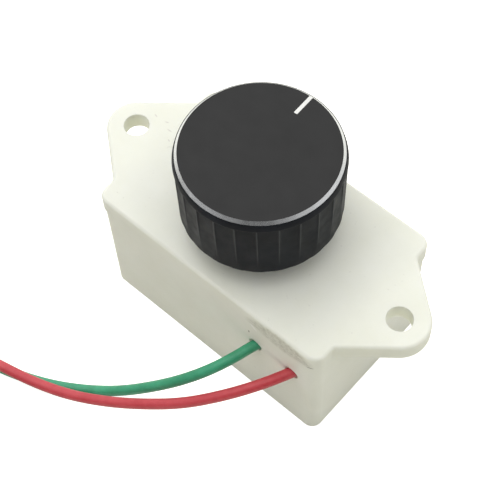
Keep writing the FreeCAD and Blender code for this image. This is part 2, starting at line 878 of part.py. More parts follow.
def coil_route(level):
    """Points of the single turn, drawn in towards its middle, anticlockwise."""
    step = 360 / coil_points
    count = round(coil_sweep / step)
    points = []
    for i in range(count + 1):
        angle = math.radians(coil_entry_angle + (i + 0.5) * step)
        radius = coil_radius + (coil_end_radius - coil_radius) * i / count
        points.append(V(coil_centre.x + radius * math.cos(angle),
                        coil_centre.y + radius * math.sin(angle), level))
    return points


def lead(name, exit_x, points, level):
    """Free stretch, its put-away turn and the tinned end of one lead."""
    inner, outer = exit_points(exit_x)
    turn = coil_route(level)
    join = (points[-1] + turn[0]) * 0.5
    route = [inner, outer] + points + [join]
    free = tube(route, lead_radius)
    report_tube(name, route, lead_radius, free)
    coil = tube([join] + turn, lead_radius)
    report_tube(name + "_coil", [join] + turn, lead_radius, coil)
    end = turn[-1]
    tip = Part.makeCylinder(conductor_radius, tip_length, end, end - turn[-2])
    export(name, free)
    export(name + "_coil", coil)
    export(name + "_tip", tip)


def tail_route(exit_x, pad):
    inner, outer = exit_points(exit_x)
    x, y = pad
    back = (inner - outer).normalize()
    knee = inner + back * tail_knee
    bend_z = board_top + tail_bend_share * (lead_height - board_top)
    return [inner, knee, V(x, y, bend_z), V(x, y, board_top)]


def lead_tail(exit_x, pad):
    """The same lead inside the housing, down to its pad, with a bare end through the board."""
    return tube(tail_route(exit_x, pad), lead_radius).fuse(pins([pad], board_thickness))


def build():
    os.makedirs("parts", exist_ok=True)
    export("housing_box", housing_box())
    export("face_plate", face_plate())

    export("pot_bushing", pot_bushing())
    export("pot_wafer", pot_wafer())
    export("pot_track", pot_track())
    export("pot_terminals", pot_terminals())
    export("pot_can", pot_can())
    export("pot_washer", pot_washer())
    export("pot_nut", pot_nut())
    export("pot_shaft", pot_shaft())
    export("pot_rotor", pot_rotor())
    export("pot_wiper", pot_wiper())
    export("shaft_clip", shaft_clip())

    export("knob_body", knob_body())
    export("knob_cap", knob_cap())
    export("pointer_line", pointer_line())

    holes = []
    components = {
        "snubber_capacitor": box_capacitor(snubber_x, snubber_y, snubber_length, snubber_width,
                                           snubber_height),
        "timing_capacitor": box_capacitor(timing_x, timing_y, timing_length, timing_width, timing_height),
        "diac": axial_part(diac_x, diac_y, diac_radius, diac_length, diac_half_pitch, along_y=True),
        "fuse": axial_part(fuse_x, fuse_y, fuse_radius, fuse_length, fuse_half_pitch),
        "triac": triac(),
    }
    for name, (shape, places) in components.items():
        export(name, shape)
        holes += places
    resistors = [axial_part(resistor_x, y, resistor_radius, resistor_length, resistor_half_pitch)
                 for y in (resistor_y, resistor_y - resistor_spacing)]
    export("resistors", Part.makeCompound([shape for shape, places in resistors]))
    for shape, places in resistors:
        holes += places
    export("choke_core", choke_core())
    export("choke_winding", choke_winding())
    export("heat_sink", heat_sink())
    export("heat_sink_screw", heat_sink_screw())
    export("jumper_wires", jumper_wires())
    export("green_lead_tail", lead_tail(green_exit_x, green_pad))
    export("red_lead_tail", lead_tail(red_exit_x, red_pad))
    holes += jumper_places() + [green_pad, red_pad]
    export("circuit_board", circuit_board(holes))
    export("board_screws", board_screws())
    export("solder_joints", solder_joints(holes))

    lead("green_lead", green_exit_x, green_points, green_level)
    lead("red_lead", red_exit_x, red_points, red_level)


build()
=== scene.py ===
import bpy
import bmesh
import math
from mathutils import Matrix, Vector


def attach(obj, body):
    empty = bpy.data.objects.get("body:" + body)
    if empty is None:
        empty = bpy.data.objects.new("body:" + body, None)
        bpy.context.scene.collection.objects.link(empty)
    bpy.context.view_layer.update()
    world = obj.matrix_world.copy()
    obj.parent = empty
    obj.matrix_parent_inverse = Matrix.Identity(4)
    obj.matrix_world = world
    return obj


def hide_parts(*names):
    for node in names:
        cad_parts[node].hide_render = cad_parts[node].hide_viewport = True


# Dressed model of a rotary fan speed control switch. Sizes are in millimetres, in the
# frame of the CAD model, and are scaled to metres when a mesh is made.

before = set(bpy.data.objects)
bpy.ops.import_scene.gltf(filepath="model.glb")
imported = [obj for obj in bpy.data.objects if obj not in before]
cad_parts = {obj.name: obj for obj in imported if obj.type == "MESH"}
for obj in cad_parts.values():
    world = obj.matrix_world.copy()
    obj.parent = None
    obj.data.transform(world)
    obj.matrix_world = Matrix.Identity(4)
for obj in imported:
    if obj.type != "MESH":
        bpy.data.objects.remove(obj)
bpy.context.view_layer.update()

MM = 0.001
scene = bpy.context.scene

# How far a cutter runs past the face that it cuts, how far a form runs into the one that it
# is joined to, and how far a shell that is only laid in reaches into its neighbour
cut_overrun = 1.0
merge_depth = 1.0
shell_overlap = 0.2
rib_roof_overlap = 0.25

# Box
box_length = 58.4
box_width = 35.4
box_height = 30.0
wall = 2.0
floor_thickness = 2.0
box_corner_radius = 2.4
box_base_round = 0.6
box_top_round = 0.25
cavity_corner_radius = 0.6
post_setback = 4.7
post_radius = 2.6
post_height = 5.0
board_screw_radius = 1.1
thread_clearance = 0.03

# Face plate with its two ears
plate_overhang = 0.35
plate_thickness = 4.2
plate_corner_radius = 2.8
plate_top_round = 0.8
plate_under_round = 0.2
seat_rebate = 0.2
rebate_clearance = 0.1
web_thickness = 2.0
ear_hole_reach = 6.05
ear_hole_radius = 2.7
ear_tip_radius = 6.4
ear_root_setback = 5.05
ear_root_fillet = 1.5
skirt_thickness = 1.2
skirt_depth = 3.0
skirt_clearance = 0.15

# Snap hooks and their recesses
hook_width = 5.0
hook_length = 8.0
hook_offset = 8.5
barb_reach = 0.7
barb_height = 2.0
recess_clearance = 0.25

# Potentiometer's shaft and fixings
shaft_radius = 3.0
shaft_clearance = 0.04
shaft_flat = 1.5
shaft_above_bushing = 15.0
bushing_radius = 3.5
bushing_length = 7.0
bushing_chamfer = 0.3
bushing_hole_clearance = 0.2
thread_pitch = 0.75
thread_depth = 0.26
thread_run_in = 0.4
pot_radius = 8.3
pot_plate_thickness = 1.0
locating_tab_width = 2.6
locating_tab_thickness = 1.2
locating_tab_height = 1.4
tab_clearance = 0.15
washer_thickness = 0.5
nut_across_flats = 10.0
nut_height = 2.2
nut_foot_height = 0.3
nut_foot_step = (0.12, 0.35)
nut_chamfer_height = 0.39
nut_chamfer_curve = 1.4
nut_bore_mouth = 0.32
nut_countersink = 0.3

# Knob
knob_gap = 5.7
knob_height = 17.8
knob_band_radius = 16.65
knob_band_height = 1.6
knob_foot_radius = 16.4
knob_ridge_radius = 16.6
knob_skirt_wall = 2.2
knob_roof = 2.4
knob_foot_round = 1.4
flute_count = 25
flute_samples = 24
flute_radius = 21.0
flute_foot_depth = 0.05
flute_top_depth = 0.4
flute_edge_blend = 0.03
ridge_angle = -51.1
ridge_half_width = 0.3
ridge_crown = 0.6
hub_radius = 5.0
hub_lift = 1.0
rib_count = 6
rib_thickness = 1.0
rib_lift = 6.0
inside_round = 0.3
hub_root_round = 0.4
bore_clearance = 0.03
bore_spare = 0.3
bore_mouth = 0.25

# Radii of the inner rows across the disc's seat
seat_rows = (6.0, 15.6)

# The lip inside the knob's foot: distance out from the hollow's wall, height above the foot
foot_lip_profile = [(0.3, 0.0), (0.1, 0.08), (0.0, 0.3)]

# The knob's rim from the disc's seat over the lip to the foot of its slightly tapered band:
# distance in from the band's full radius, and depth below the knob's top
rim_profile = [(0.45, 0.12), (0.43, 0.05), (0.38, 0.04), (0.33, 0.12), (0.08, 1.05), (0.02, 1.3),
               (0.0, 1.5), (0.01, 1.56), (0.04, 1.6)]

# Disc on the knob and its pointer
cap_radius = 16.15
cap_clearance = 0.05
cap_thickness = 1.3
cap_proud = 0.65
cap_bevel = 0.57
pointer_width = 0.8
pointer_clearance = 0.01
pointer_start = 10.65
pointer_end = 16.1
pointer_depth = 0.3
pointer_turn = 2.2
pointer_bevel_radius = 15.56
pointer_bevel_slope = 1.11
pointer_crown = 0.02
pointer_least_depth = 0.05

# The disc from its seat over the cut bevel to its face: distance in from its full radius, and
# depth below its top
cap_profile = [(0.0, cap_thickness), (0.0, 0.68), (0.01, 0.64), (cap_bevel, 0.02), (0.61, 0.0),
               (2.15, 0.0)]

# Leads: routes of the CAD model, which smooth lines follow, and the turn that is put away
lead_radius = 1.15
lead_hole_clearance = 0.35
lead_drop = 9.2
red_exit_setback = 6.3
lead_spacing = 9.6
exit_angle = 22.0
red_route = [(24.40, -13.99, 20.8), (22.9, -17.7, 20.8), (19.4, -24.2, 20.2), (14.4, -29.9, 17.4),
             (8.4, -35.0, 13.7), (1.1, -39.3, 9.8), (-6.4, -43.1, 6.4), (-14.6, -46.7, 4.0),
             (-22.8, -49.5, 3.5), (-31.2, -51.5, 3.5)]
green_route = [(14.80, -13.99, 20.8), (13.3, -17.7, 20.8), (11.7, -23.1, 20.4), (8.9, -27.7, 18.1),
               (4.7, -31.9, 14.3), (-0.5, -35.6, 9.8), (-6.1, -39.0, 5.4), (-11.9, -42.1, 2.2),
               (-18.2, -45.8, 1.15), (-24.7, -49.0, 1.15), (-32.0, -51.5, 1.15)]
coil_centre = (-40.0, -67.9)
coil_radius = 14.4
coil_end_radius = 13.1
coil_points = 10
coil_step = 30.0
coil_entry_angle = 99.8
tip_length = 6.0
tip_round = 0.5
tip_blunt = 0.05
strand_count = 7
strand_twist = 5.0
strand_core_radius = 0.53
strand_swell = 0.07

# Rounded lips of the holes
lead_hole_lip = 0.12
ear_hole_lip = 0.12
bushing_hole_lip = 0.1

# Marks on the white plastic, among them painted light and shade, as ellipsoids: middle, turn in degrees and
# half sizes
# A darker mottled patch on the plate's front edge above the lead holes
dark_edge_patch = ((20.2, -18.3, 30.7), (0, 0, 0), (9.4, 1.9, 3.5))
# Painted highlight: a bright streak on the long wall above the green lead's hole
painted_highlight_streak = ((13.1, -17.7, 28.15), (0, 40, 0), (1.3, 0.5, 0.26))
# Painted shade: a small dark spot beside the highlight above the green lead's hole
painted_shade_spot = ((11.75, -17.7, 24.8), (0, 0, 0), (0.24, 0.4, 0.55))
# Painted shadow: a dark streak in the seam under the plate's front corner
painted_seam_shadow = ((27.75, -17.95, 29.95), (0, 0, 17), (1.15, 0.7, 0.26))

# Faint scratches on the face plate: middle, turn in degrees and half length
scratches = [(-33.8, 4.44, -16, 0.65), (-30.82, 4.68, 20, 0.6), (-28.95, 3.47, 3, 0.85),
             (-27.3, 1.53, -19, 0.5)]
scratch_half_width = 0.18
scratch_half_depth = 0.5

# Levels at which the painted highlight on the knob's ridges begins and ends
ridge_highlight_begins = (42.5, 48.0)
ridge_highlight_ends = (55.6, 56.0)

# Camera fitted to the photo: angles in degrees, distance and target in millimetres, and the
# focal length in pixels of a picture that is 500 pixels wide
camera_azimuth = 43.818
camera_elevation = 60.02
camera_roll = -2.781
camera_distance = 274.699
camera_target = (-2.415, -1.463, 20.0)
focal_pixels = 1296.97
picture_pixels = 500
sensor_width = 36.0

# Soft windows and lamps about the object: azimuth and elevation in degrees, strength
lights = [(0, 18, 0.20), (45, 18, 0.62), (90, 18, 0.66), (135, 18, 1.40), (180, 18, 0.22),
          (225, 18, 0.15), (20, 52, 0.90), (92, 52, 0.16), (164, 52, 1.40), (236, 52, 1.26),
          (308, 52, 0.12), (0, 90, 1.62)]
light_focus = 8.0

# White that the camera and mirrors see: glow added to the floor, and the room in mirrors
floor_glow = 0.8
floor_mirrored = 0.3
room_mirrored = 0.05
floor_radius = 4000.0
floor_drop = 0.02

# Levels and places that follow from the values above
inside_x = box_length / 2 - wall
inside_y = box_width / 2 - wall
skirt_x = inside_x - skirt_clearance
skirt_y = inside_y - skirt_clearance
plate_x = box_length / 2 + plate_overhang
plate_y = box_width / 2 + plate_overhang
plate_under = box_height - seat_rebate
plate_top = plate_under + plate_thickness
web_under = plate_top - web_thickness
ear_x = box_length / 2 + ear_hole_reach
locating_tab_x = pot_radius - locating_tab_thickness
bushing_top = web_under + bushing_length
shaft_top = bushing_top + shaft_above_bushing
knob_bottom = plate_top + knob_gap
knob_top = knob_bottom + knob_height
band_under = knob_top - knob_band_height
cap_under = knob_top - cap_thickness + cap_proud
cap_top = cap_under + cap_thickness
roof_under = cap_under - knob_roof
red_exit_x = box_length / 2 - red_exit_setback
green_exit_x = red_exit_x - lead_spacing


# Materials

def linear(*rgb):
    """Colour written as sRGB 0-255, as Blender's linear colour."""
    def one(value):
        value /= 255
        return value / 12.92 if value <= 0.04045 else ((value + 0.055) / 1.055) ** 2.4
    return tuple(one(v) for v in rgb) + (1.0,)


class Nodes:
    """A node tree with short calls to add and join nodes."""

    def __init__(self, tree):
        self.tree = tree

    def add(self, kind, **settings):
        node = self.tree.nodes.new(kind)
        for key, value in settings.items():
            setattr(node, key, value)
        return node

    def join(self, source, target):
        self.tree.links.new(source, target)

    def feed(self, socket, value):
        """Sets a socket to a value, or joins it to another node's output."""
        if isinstance(value, (int, float, tuple)):
            socket.default_value = value
        else:
            self.join(value, socket)

    def maths(self, operation, *values):
        node = self.add("ShaderNodeMath", operation=operation)
        for socket, value in zip(node.inputs, values):
            self.feed(socket, value)
        return node.outputs[0]


class Finish(Nodes):
    """A material's nodes, with patterns in the piece's own coordinates."""

    def __init__(self, name):
        self.material = bpy.data.materials.new(name)
        self.material.use_nodes = True
        super().__init__(self.material.node_tree)
        self.shader = self.tree.nodes["Principled BSDF"]
        self.coords = self.add("ShaderNodeTexCoord").outputs["Object"]

    def set(self, **values):
        """Feeds the shader's sockets, whose names have _ for each space here."""
        for name, value in values.items():
            self.feed(self.shader.inputs[name.replace("_", " ")], value)

    def noise(self, scale, detail=3.0, roughness=0.5, stretch=None):
        node = self.add("ShaderNodeTexNoise")
        node.inputs["Scale"].default_value = scale
        node.inputs["Detail"].default_value = detail
        node.inputs["Roughness"].default_value = roughness
        source = self.coords
        if stretch:
            mapping = self.add("ShaderNodeMapping")
            mapping.inputs["Scale"].default_value = stretch
            self.join(source, mapping.inputs["Vector"])
            source = mapping.outputs["Vector"]
        self.join(source, node.inputs["Vector"])
        return node.outputs["Fac"]

    def spread(self, source, low, high, start=0.3, end=0.7):
        """Maps what lies between start and end to the range low to high."""
        node = self.add("ShaderNodeMapRange")
        for name, value in (("From Min", start), ("From Max", end), ("To Min", low), ("To Max", high)):
            node.inputs[name].default_value = value
        self.join(source, node.inputs["Value"])
        return node.outputs["Result"]

    def blend(self, factor, first, second):
        node = self.add("ShaderNodeMix", data_type="RGBA")
        self.join(factor, node.inputs["Factor"])
        self.feed(node.inputs["A"], first)
        self.feed(node.inputs["B"], second)
        return node.outputs["Result"]

    def patch(self, centre, turn, size, soft):
        """1 inside an ellipsoid given in millimetres and degrees, 0 outside, soft at its edge."""
        place = self.add("ShaderNodeMapping", vector_type="TEXTURE")
        place.inputs["Location"].default_value = [v * MM for v in centre]
        place.inputs["Rotation"].default_value = [math.radians(v) for v in turn]
        place.inputs["Scale"].default_value = [v * MM for v in size]
        self.join(self.coords, place.inputs["Vector"])
        reach = self.add("ShaderNodeVectorMath", operation="LENGTH")
        self.join(place.outputs["Vector"], reach.inputs[0])
        return self.spread(reach.outputs["Value"], 1.0, 0.0, 1.0 - soft, 1.0)

    def bump(self, height, distance, strength=1.0, normal=None):
        node = self.add("ShaderNodeBump")
        node.inputs["Strength"].default_value = strength
        node.inputs["Distance"].default_value = distance
        self.join(height, node.inputs["Height"])
        if normal:
            self.join(normal, node.inputs["Normal"])
        return node.outputs["Normal"]


def darkened(colour, share):
    return tuple(c * share for c in colour[:3]) + (1.0,)


def surface(name, colour, roughness, metallic=0.0, shade=0.94, scale=220.0, grain=2600.0,
            depth=0.00001, rough_spread=0.06, ior=1.46, stretch=None):
    """Plastic, paint or metal with faint cloudy colour, uneven gloss and a fine grain."""
    n = Finish(name)
    cloud = n.spread(n.noise(scale, 4.0, 0.6), 0.0, 1.0)
    gloss = n.noise(scale * 2.7, 3.0, 0.55)
    n.set(Base_Color=n.blend(cloud, darkened(colour, shade), colour),
          Roughness=n.spread(gloss, roughness - rough_spread, roughness + rough_spread),
          Normal=n.bump(n.noise(grain, 2.0, 0.6, stretch), depth), Metallic=metallic, IOR=ior)
    return n.material


def white_plastic():
    """Satin moulded plastic: warm white, faint flow clouds, tiny specks, a darker patch on the front edge, a
    painted highlight and painted shade by a lead hole, and a painted shadow in the seam.
    """
    n = Finish("white_plastic")
    cloud = n.spread(n.noise(70.0, 5.0, 0.6), 0.0, 1.0)
    body = n.blend(cloud, linear(232, 233, 219), linear(239, 240, 228))
    speck = n.spread(n.noise(900.0, 2.0, 0.5), 0.0, 1.0, 0.72, 0.80)
    body = n.blend(speck, body, linear(222, 222, 210))
    patchy = n.spread(n.noise(1300.0, 3.0, 0.7), 0.2, 1.0)
    # Darker mottled patch on the plate's front edge above the lead holes
    body = n.blend(n.maths("MULTIPLY", n.patch(*dark_edge_patch, 0.3), patchy), body, linear(190, 190, 174))
    # Painted highlight streak above the green lead's hole
    body = n.blend(n.patch(*painted_highlight_streak, 0.5), body, linear(253, 253, 246))
    # Painted shade spot beside the highlight above the green lead's hole
    body = n.blend(n.patch(*painted_shade_spot, 0.6), body, linear(150, 148, 130))
    # Painted shadow in the seam under the plate's front corner
    body = n.blend(n.patch(*painted_seam_shadow, 0.4), body, linear(62, 60, 52))
    for x, y, turn, half_length in scratches:
        size = (half_length, scratch_half_width, scratch_half_depth)
        scratch = n.patch((x, y, plate_top), (0, 0, turn), size, 0.8)
        body = n.blend(scratch, body, linear(212, 208, 200))
    waves = n.bump(n.noise(60.0, 2.0, 0.4), 0.00006, 0.5)
    n.set(Base_Color=body, Roughness=n.spread(n.noise(160.0, 4.0, 0.6), 0.42, 0.58),
          Normal=n.bump(n.noise(3200.0, 2.0, 0.6), 0.000006, 0.6, waves), IOR=1.49,
          Subsurface_Weight=0.25, Subsurface_Radius=(1.0, 0.95, 0.8), Subsurface_Scale=0.004)
    return n.material


def black_plastic():
    """Satin black: faint clouds, a painted highlight that makes the ridges a little paler, moulding grain."""
    n = Finish("black_plastic")
    cloud = n.spread(n.noise(180.0, 4.0, 0.6), 0.0, 1.0)
    body = n.blend(cloud, linear(20, 22, 26), linear(29, 32, 38))
    place = n.add("ShaderNodeSeparateXYZ")
    n.join(n.coords, place.inputs[0])
    angle = n.maths("ARCTAN2", place.outputs["Y"], place.outputs["X"])
    ridge_shift = 0.5 - ridge_angle * flute_count / 360
    flute = n.maths("MULTIPLY_ADD", angle, flute_count / (2 * math.pi), ridge_shift)
    off_ridge = n.maths("ABSOLUTE", n.maths("SUBTRACT", n.maths("FRACT", flute), 0.5))
    ridge = n.spread(off_ridge, 1.0, 0.0, 0.01, 0.045)
    above_foot = n.spread(place.outputs["Z"], 0.0, 1.0, ridge_highlight_begins[0] * MM, ridge_highlight_begins[1] * MM)
    below_band = n.spread(place.outputs["Z"], 1.0, 0.0, ridge_highlight_ends[0] * MM, ridge_highlight_ends[1] * MM)
    # Painted highlight: the ridges between the foot and the band are made paler
    painted_ridge_highlight = n.maths("MULTIPLY", n.maths("MULTIPLY", ridge, above_foot), below_band)
    n.set(Base_Color=n.blend(painted_ridge_highlight, body, linear(62, 64, 66)),
          Roughness=n.spread(n.noise(420.0, 3.0, 0.55), 0.42, 0.54),
          Normal=n.bump(n.noise(2400.0, 2.0, 0.6), 0.000012), IOR=1.18)
    return n.material


def insulation(name, dark, light):
    """Soft PVC: two close shades in patches, waxy gloss and fine drag marks."""
    n = Finish(name)
    patches = n.spread(n.noise(260.0, 4.0, 0.65), 0.0, 1.0, 0.35, 0.65)
    n.set(Base_Color=n.blend(patches, dark, light), Roughness=n.spread(n.noise(700.0, 3.0), 0.36, 0.52),
          Normal=n.bump(n.noise(1500.0, 3.0, 0.6), 0.00003, 0.5), Subsurface_Weight=0.05,
          Subsurface_Scale=0.001)
    return n.material


def turned_metal(name, colour, roughness, ring_scale=2500.0, depth=0.000003):
    """Metal cut on a lathe: fine rings about the knob's axis."""
    n = Finish(name)
    rings = n.add("ShaderNodeTexWave", wave_type="RINGS", rings_direction="Z", wave_profile="SIN")
    rings.inputs["Scale"].default_value = ring_scale
    rings.inputs["Distortion"].default_value = 1.5
    rings.inputs["Detail"].default_value = 2.0
    n.join(n.coords, rings.inputs["Vector"])
    cloud = n.spread(n.noise(300.0, 3.0), 0.0, 1.0)
    n.set(Base_Color=n.blend(cloud, darkened(colour, 0.9), colour),
          Roughness=n.spread(n.noise(500.0, 3.0), roughness - 0.05, roughness + 0.06),
          Normal=n.bump(rings.outputs["Fac"], depth, 0.6), Metallic=1.0)
    return n.material


materials = {
    "white_plastic": white_plastic(),
    "black_plastic": black_plastic(),
    "black_aluminium": surface("black_aluminium", linear(35, 35, 35), 0.55, shade=0.9, scale=90.0,
                               grain=6000.0, depth=0.000004, rough_spread=0.04, ior=1.36),
    "cut_aluminium": turned_metal("cut_aluminium", linear(232, 234, 236), 0.27),
    "white_paint": surface("white_paint", linear(236, 236, 232), 0.5, shade=0.9, grain=3000.0),
    "zinc": surface("zinc", linear(196, 194, 184), 0.34, 1.0, 0.82, 400.0, 1800.0, 0.000012),
    "spring_steel": surface("spring_steel", linear(120, 118, 116), 0.38, 1.0, 0.7, 300.0, 1500.0),
    "steel": turned_metal("steel", linear(188, 188, 190), 0.3, 1800.0, 0.000006),
    "phenolic": surface("phenolic", linear(150, 98, 52), 0.55, shade=0.8, scale=500.0),
    "dark_phenolic": surface("dark_phenolic", linear(66, 44, 30), 0.5, shade=0.75, scale=400.0),
    "carbon": surface("carbon", linear(30, 30, 32), 0.6, shade=0.8, grain=4000.0),
    "tinned_metal": surface("tinned_metal", linear(206, 206, 204), 0.3, 1.0, 0.85, 600.0, 2200.0, 0.00002),
    "board_laminate": surface("board_laminate", linear(176, 142, 84), 0.48, shade=0.85, scale=900.0,
                              stretch=(1.0, 0.2, 1.0)),
    "black_epoxy": surface("black_epoxy", linear(32, 32, 34), 0.45, shade=0.8, grain=3500.0),
    "plain_aluminium": surface("plain_aluminium", linear(200, 202, 204), 0.36, 1.0, 0.9, 200.0, 900.0,
                               0.00001, stretch=(1.0, 1.0, 0.1)),
    "diode_glass": surface("diode_glass", linear(70, 96, 150), 0.2, shade=0.8),
    "ceramic": surface("ceramic", linear(222, 214, 196), 0.4, shade=0.9),
    "resistor_lacquer": surface("resistor_lacquer", linear(186, 160, 116), 0.35, shade=0.85),
    "capacitor_case": surface("capacitor_case", linear(196, 150, 52), 0.42, shade=0.9),
    "ferrite": surface("ferrite", linear(52, 50, 50), 0.5, shade=0.75, grain=2000.0, depth=0.00003),
    "enamelled_copper": surface("enamelled_copper", linear(170, 84, 44), 0.28, 0.9, 0.85),
    "wire_white": surface("wire_white", linear(226, 226, 220), 0.45, shade=0.92),
    "green_insulation": insulation("green_insulation", linear(50, 146, 106), linear(63, 163, 122)),
    "red_insulation": insulation("red_insulation", linear(188, 56, 65), linear(201, 70, 78)),
}


# Camera at the photograph's viewing angle

def place_camera():
    azimuth = math.radians(camera_azimuth)
    elevation = math.radians(camera_elevation)
    roll = math.radians(camera_roll)
    back = Vector((math.sin(azimuth) * math.cos(elevation), -math.cos(azimuth) * math.cos(elevation),
                   math.sin(elevation)))
    right = Vector((math.cos(azimuth), math.sin(azimuth), 0.0))
    up = back.cross(right)
    data = bpy.data.cameras.new("camera")
    data.sensor_width = sensor_width
    data.lens = sensor_width * focal_pixels / picture_pixels
    data.clip_start = 0.01
    data.clip_end = 30.0
    camera = bpy.data.objects.new("camera", data)
    turned = Matrix((math.cos(roll) * right + math.sin(roll) * up,
                     -math.sin(roll) * right + math.cos(roll) * up, back)).transposed().to_4x4()
    turned.translation = (Vector(camera_target) + back * camera_distance) * MM
    camera.matrix_world = turned
    scene.collection.objects.link(camera)
    scene.camera = camera


place_camera()


# Meshes

def add_mesh(name, bm, slots, smooth_angle=32.0):
    """Object from a bmesh in millimetres, smooth where its faces meet at a small angle."""
    bmesh.ops.scale(bm, vec=(MM, MM, MM), verts=bm.verts)
    bmesh.ops.recalc_face_normals(bm, faces=bm.faces)
    mesh = bpy.data.meshes.new(name)
    bm.to_mesh(mesh)
    bm.free()
    for slot_name in slots:
        mesh.materials.append(materials[slot_name])
    obj = bpy.data.objects.new(name, mesh)
    scene.collection.objects.link(obj)
    if smooth_angle:
        shade(obj, smooth_angle)
    return obj


def shade(obj, smooth_angle=32.0):
    obj.data.polygons.foreach_set("use_smooth", [True] * len(obj.data.polygons))
    obj.data.set_sharp_from_angle(angle=math.radians(smooth_angle))
    weights = obj.modifiers.new("weights", "WEIGHTED_NORMAL")
    weights.keep_sharp = True


def solid_of(build, *args):
    bm = bmesh.new()
    build(bm, *args)
    return bm


def turn_about_axis(bm, degrees):
    """Turns a bmesh about the knob's axis."""
    matrix = Matrix.Rotation(math.radians(degrees), 3, "Z")
    bmesh.ops.rotate(bm, cent=(0, 0, 0), matrix=matrix, verts=bm.verts)


def combine(obj, bm, operation):
    """Exact boolean of obj with the solids in bm, applied to its mesh."""
    tool = add_mesh("tool", bm, (), 0)
    step = obj.modifiers.new("step", "BOOLEAN")
    step.operation = operation
    step.solver = "EXACT"
    step.object = tool
    bpy.context.view_layer.update()
    result = bpy.data.meshes.new_from_object(obj.evaluated_get(bpy.context.evaluated_depsgraph_get()))
    obj.modifiers.remove(step)
    result.name = obj.data.name
    obj.data = result
    bpy.data.objects.remove(tool)


def loft(bm, loops, open_start=False, open_end=False):
    """Adds the skin through loops of equally many points, closed by flat ends."""
    rows = [[bm.verts.new(point) for point in loop] for loop in loops]
    count = len(rows[0])
    for row, above in zip(rows, rows[1:]):
        for i in range(count):
            j = (i + 1) % count
            bm.faces.new((row[i], row[j], above[j], above[i]))
    if not open_start:
        bm.faces.new(tuple(reversed(rows[0])))
    if not open_end:
        bm.faces.new(tuple(rows[-1]))


def loft_closed(bm, loops):
    """Adds a ring-shaped skin, whose last loop meets the first."""
    loft(bm, loops + loops[:1], True, True)
    bmesh.ops.remove_doubles(bm, verts=bm.verts, dist=1e-5)


def box_in(bm, low, high):
    corners = [(low[0], low[1]), (high[0], low[1]), (high[0], high[1]), (low[0], high[1])]
    loft(bm, [[(x, y, z) for x, y in corners] for z in (low[2], high[2])])


def round_loop(radius, z, count=96, x=0.0, y=0.0):
    angles = [2 * math.pi * i / count for i in range(count)]
    return [(x + radius * math.cos(a), y + radius * math.sin(a), z) for a in angles]


def arc(centre, radius, start, end, steps):
    """Points and outward normals of an arc; a falling angle is a hollow corner."""
    hollow = -1 if end < start else 1
    found = []
    for i in range(steps + 1):
        a = math.radians(start + (end - start) * i / steps)
        normal = (math.cos(a), math.sin(a))
        point = (centre[0] + radius * normal[0], centre[1] + radius * normal[1])
        found.append((point, (hollow * normal[0], hollow * normal[1])))
    return found


def rounded_rectangle(half_x, half_y, radius, steps):
    found = []
    for quarter, (sx, sy) in enumerate(((1, -1), (1, 1), (-1, 1), (-1, -1))):
        centre = (sx * (half_x - radius), sy * (half_y - radius))
        found += arc(centre, radius, -90 + 90 * quarter, 90 * quarter, steps)
    return found


def inset(outline, distance, z):
    return [(p[0] - n[0] * distance, p[1] - n[1] * distance, z) for p, n in outline]


def straight_block(outline, low, high):
    """Bmesh of a slab with sharp edges."""
    return solid_of(loft, [inset(outline, 0, low), inset(outline, 0, high)])


def rounded_stack(outline, low, high, low_round, high_round, steps=8):
    """Loops of a slab with rounded lower and upper edges."""
    angles = [math.pi / 2 * i / steps for i in range(steps + 1)]
    loops = [inset(outline, low_round * (1 - math.sin(a)), low + low_round * (1 - math.cos(a)))
             for a in angles]
    loops += [inset(outline, high_round * (1 - math.cos(a)), high - high_round * (1 - math.sin(a)))
              for a in angles]
    return loops


def flared_bore(bm, radius, start, end, lip, count=64, steps=6):
    """Cutter along Z whose ends widen, so that the hole gets rounded lips."""
    angles = [math.pi / 2 * i / steps for i in range(steps + 1)]
    loops = [round_loop(radius + lip, start - cut_overrun, count)]
    for a in angles:
        loops.append(round_loop(radius + lip * (1 - math.sin(a)), start + lip * (1 - math.cos(a)), count))
    for a in angles:
        loops.append(round_loop(radius + lip * (1 - math.cos(a)), end - lip * (1 - math.sin(a)), count))
    loops.append(round_loop(radius + lip, end + cut_overrun, count))
    loft(bm, loops)


def settle(obj, body, slot, *nodes):
    """The piece stands for its CAD nodes, which it hides, and rides on their body."""
    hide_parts(*nodes)
    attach(obj, body)


# Leads

def turn_points(level):
    """The put-away turn, drawn in towards its middle."""
    points = []
    for i in range(coil_points):
        a = math.radians(coil_entry_angle + (i + 0.5) * coil_step)
        radius = coil_radius + (coil_end_radius - coil_radius) * i / (coil_points - 1)
        points.append((coil_centre[0] + radius * math.cos(a), coil_centre[1] + radius * math.sin(a), level))
    return points


def lead_curve(name, points, material):
    curve = bpy.data.curves.new(name, "CURVE")
    curve.dimensions = "3D"
    curve.bevel_depth = lead_radius * MM
    curve.bevel_resolution = 8
    curve.resolution_u = 16
    curve.use_fill_caps = True
    spline = curve.splines.new("NURBS")
    spline.points.add(len(points) - 1)
    for target, point in zip(spline.points, points):
        target.co = (point[0] * MM, point[1] * MM, point[2] * MM, 1.0)
    spline.order_u = 3
    spline.use_endpoint_u = True
    curve.materials.append(material)
    obj = bpy.data.objects.new(name, curve)
    scene.collection.objects.link(obj)
    return obj


